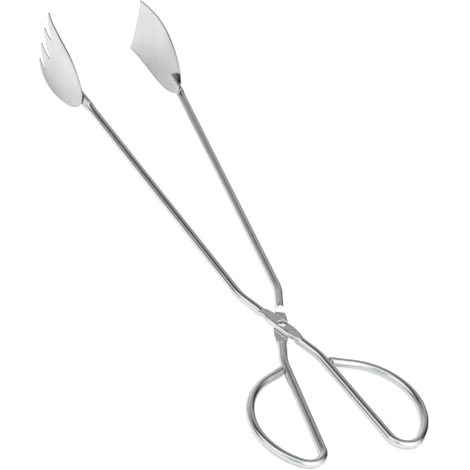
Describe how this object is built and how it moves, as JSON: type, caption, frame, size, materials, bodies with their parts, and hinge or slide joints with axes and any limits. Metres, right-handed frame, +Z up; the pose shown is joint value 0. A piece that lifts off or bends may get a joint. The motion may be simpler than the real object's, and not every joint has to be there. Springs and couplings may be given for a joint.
{
  "type": "fish tongs",
  "caption": "Scissor tongs of bent stainless wire with D-shaped finger loops, a dished fork head and a dished spatula head, joined by a rivet.",
  "frame": {"origin": "centre of the base: the middle of the bounding box, on the surface that the tongs lie on", "axes": "+X along the tongs towards the heads, +Y towards the fork head's side, +Z up; the rivet's axis leans 2.7 degrees towards the loops because the heads stand on edge"},
  "size_m": [0.395, 0.1092, 0.0407],
  "materials": {
    "polished_wire": "polished stainless wire with fine drawing marks",
    "satin_sheet": "satin stainless sheet, softly polished",
    "rivet_steel": "polished stainless rivet"
  },
  "bodies": {
    "spatula_side": {"spatula_arm": "polished_wire", "spatula_head": "satin_sheet", "pivot_rivet": "rivet_steel"},
    "fork_side": {"fork_arm": "polished_wire", "fork_head": "satin_sheet"}
  },
  "joints": [
    {"name": "rivet_hinge", "type": "hinge", "parent": "spatula_side", "child": "fork_side", "pos_m": [-0.08711, 0, 0.00783], "axis": [-0.0472, 0, 0.9989], "range_deg": [-12.6, 105]}
  ]
}
